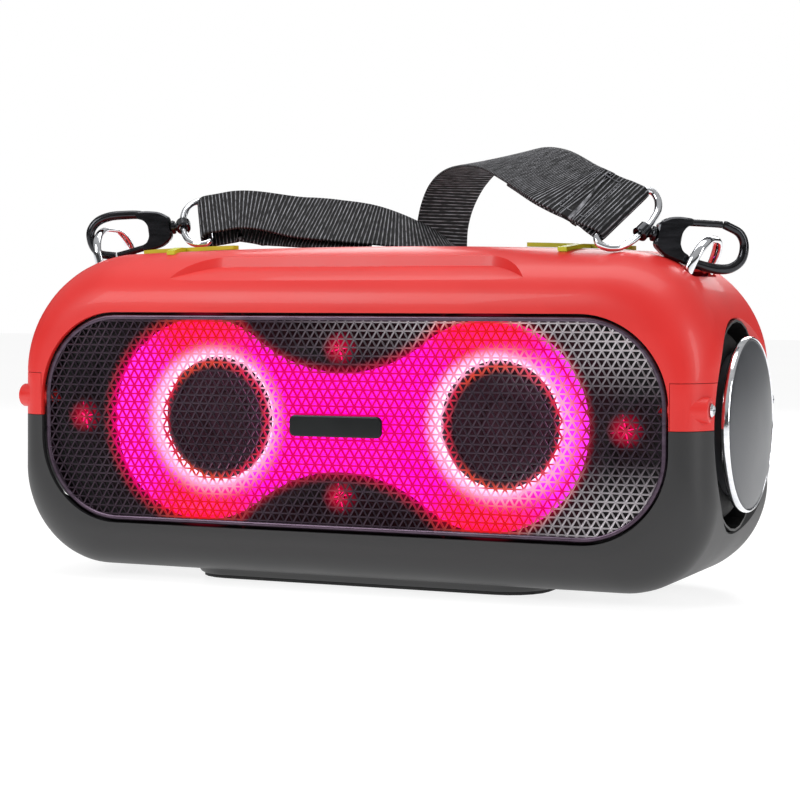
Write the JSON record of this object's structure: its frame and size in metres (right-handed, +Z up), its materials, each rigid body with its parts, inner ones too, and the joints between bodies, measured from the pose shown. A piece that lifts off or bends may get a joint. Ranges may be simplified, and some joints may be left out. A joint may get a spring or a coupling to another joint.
{
  "type": "party speaker",
  "caption": "Portable party speaker with a rounded two-tone shell, lit front grille, end radiators, top keys, rear port door and a clip-on shoulder strap.",
  "frame": {"origin": "centre of the foot pad's underside", "axes": "+Z up, the lit front faces -Y, +X to the right of someone who faces the front"},
  "size_m": [0.4088, 0.1831, 0.2344],
  "materials": {
    "red_shell": "satin",
    "dark_shell": "satin",
    "soft_rubber": "matte",
    "black_plastic": "satin",
    "black_metal": "gloss",
    "dark_grille": "satin",
    "magnet_steel": "satin",
    "cone_pulp": "matte",
    "bright_metal": "polished",
    "glow_plastic": "lit",
    "lime_plastic": "satin",
    "black_webbing": "ribbed",
    "board_green": "satin",
    "cell_blue": "gloss"
  },
  "bodies": {
    "body": {"badge": "black_plastic", "battery_pack": "cell_blue", "control_panel": "black_plastic", "foot_pad": "soft_rubber", "front_baffle": "black_plastic", "front_grille": "dark_grille", "front_left_clamp": "red_shell", "front_left_screw": "bright_metal", "front_right_clamp": "red_shell", "front_right_screw": "bright_metal", "grille_rim": "dark_grille", "led_board": "board_green", "left_accent": "lime_plastic", "left_cone_surround": "soft_rubber", "left_driver_basket": "black_plastic", "left_driver_magnet": "magnet_steel", "left_radiator_frame": "black_plastic", "left_radiator_surround": "soft_rubber", "left_strap_loop": "bright_metal", "light_guide": "glow_plastic", "lower_shell": "dark_shell", "main_board": "board_green", "port_board": "black_plastic", "rear_left_clamp": "red_shell", "rear_left_screw": "bright_metal", "rear_right_clamp": "red_shell", "rear_right_screw": "bright_metal", "right_accent": "lime_plastic", "right_cone_surround": "soft_rubber", "right_driver_basket": "black_plastic", "right_driver_magnet": "magnet_steel", "right_radiator_frame": "black_plastic", "right_radiator_surround": "soft_rubber", "right_strap_loop": "bright_metal", "strap_tail": "black_webbing", "strap_webbing": "black_webbing", "upper_shell": "red_shell"},
    "power_key": {"power_key": "soft_rubber"},
    "minus_key": {"minus_key": "soft_rubber"},
    "play_key": {"play_key": "soft_rubber"},
    "plus_key": {"plus_key": "soft_rubber"},
    "light_key": {"light_key": "soft_rubber"},
    "port_door": {"port_door": "soft_rubber"},
    "left_cone": {"left_cone": "cone_pulp"},
    "left_radiator": {"left_radiator_plate": "dark_shell", "left_radiator_trim": "bright_metal"},
    "left_strap_end": {"left_d_ring": "bright_metal", "left_swivel": "black_metal", "left_webbing_end": "black_webbing"},
    "left_hook": {"left_hook": "black_metal"},
    "left_gate": {"left_gate": "black_metal"},
    "right_cone": {"right_cone": "cone_pulp"},
    "right_radiator": {"right_radiator_plate": "dark_shell", "right_radiator_trim": "bright_metal"},
    "right_strap_end": {"right_d_ring": "bright_metal", "right_swivel": "black_metal", "right_webbing_end": "black_webbing"},
    "right_hook": {"right_hook": "black_metal"},
    "right_gate": {"right_gate": "black_metal"}
  },
  "joints": [
    {"name": "left_cone_stroke", "type": "slide", "parent": "body", "child": "left_cone", "axis": [0, -1, 0], "range_m": [-0.002, 0.0025], "stiffness_N_per_m": 1200},
    {"name": "left_radiator_stroke", "type": "slide", "parent": "body", "child": "left_radiator", "axis": [-1, 0, 0], "range_m": [-0.003, 0.003], "stiffness_N_per_m": 900},
    {"name": "right_cone_stroke", "type": "slide", "parent": "body", "child": "right_cone", "axis": [0, -1, 0], "range_m": [-0.002, 0.0025], "stiffness_N_per_m": 1200},
    {"name": "right_radiator_stroke", "type": "slide", "parent": "body", "child": "right_radiator", "axis": [1, 0, 0], "range_m": [-0.003, 0.003], "stiffness_N_per_m": 900},
    {"name": "power_key_press", "type": "slide", "parent": "body", "child": "power_key", "axis": [0, 0, -1], "range_m": [0, 0.0008], "stiffness_N_per_m": 400},
    {"name": "minus_key_press", "type": "slide", "parent": "body", "child": "minus_key", "axis": [0, 0, -1], "range_m": [0, 0.0008], "stiffness_N_per_m": 400},
    {"name": "play_key_press", "type": "slide", "parent": "body", "child": "play_key", "axis": [0, 0, -1], "range_m": [0, 0.0008], "stiffness_N_per_m": 400},
    {"name": "plus_key_press", "type": "slide", "parent": "body", "child": "plus_key", "axis": [0, 0, -1], "range_m": [0, 0.0008], "stiffness_N_per_m": 400},
    {"name": "light_key_press", "type": "slide", "parent": "body", "child": "light_key", "axis": [0, 0, -1], "range_m": [0, 0.0008], "stiffness_N_per_m": 400},
    {"name": "port_door_hinge", "type": "hinge", "parent": "body", "child": "port_door", "pos_m": [-0.076, 0.0682, 0.0604], "axis": [-1, 0, 0], "range_deg": [0, 110]},
    {"name": "left_strap_lift", "type": "hinge", "parent": "body", "child": "left_strap_end", "pos_m": [-0.1755, 0, 0.19008], "axis": [0, -1, 0], "range_deg": [0, 30], "deforming": ["strap_webbing", "strap_tail"]},
    {"name": "left_swivel_turn", "type": "hinge", "parent": "left_strap_end", "child": "left_hook", "pos_m": [-0.13186, 0.0079, 0.19245], "axis": [0.9226, 0.3589, 0.1416], "range_deg": [-8, 8]},
    {"name": "left_gate_open", "type": "hinge", "parent": "left_hook", "child": "left_gate", "pos_m": [-0.13931, 0.005, 0.18403], "axis": [-0.3626, 0.932, 0], "range_deg": [0, 20], "stiffness_Nm_per_rad": 0.02},
    {"name": "right_strap_lift", "type": "hinge", "parent": "body", "child": "right_strap_end", "pos_m": [0.18004, 0, 0.18133], "axis": [0, 1, 0], "range_deg": [0, 30], "deforming": ["strap_webbing"]},
    {"name": "right_swivel_turn", "type": "hinge", "parent": "right_strap_end", "child": "right_hook", "pos_m": [0.15043, -0.02412, 0.18506], "axis": [-0.8279, -0.5282, 0.1889], "range_deg": [-8, 8]},
    {"name": "right_gate_open", "type": "hinge", "parent": "right_hook", "child": "right_gate", "pos_m": [0.15911, -0.01858, 0.19041], "axis": [-0.5379, 0.843, 0], "range_deg": [0, 9], "stiffness_Nm_per_rad": 0.02}
  ]
}
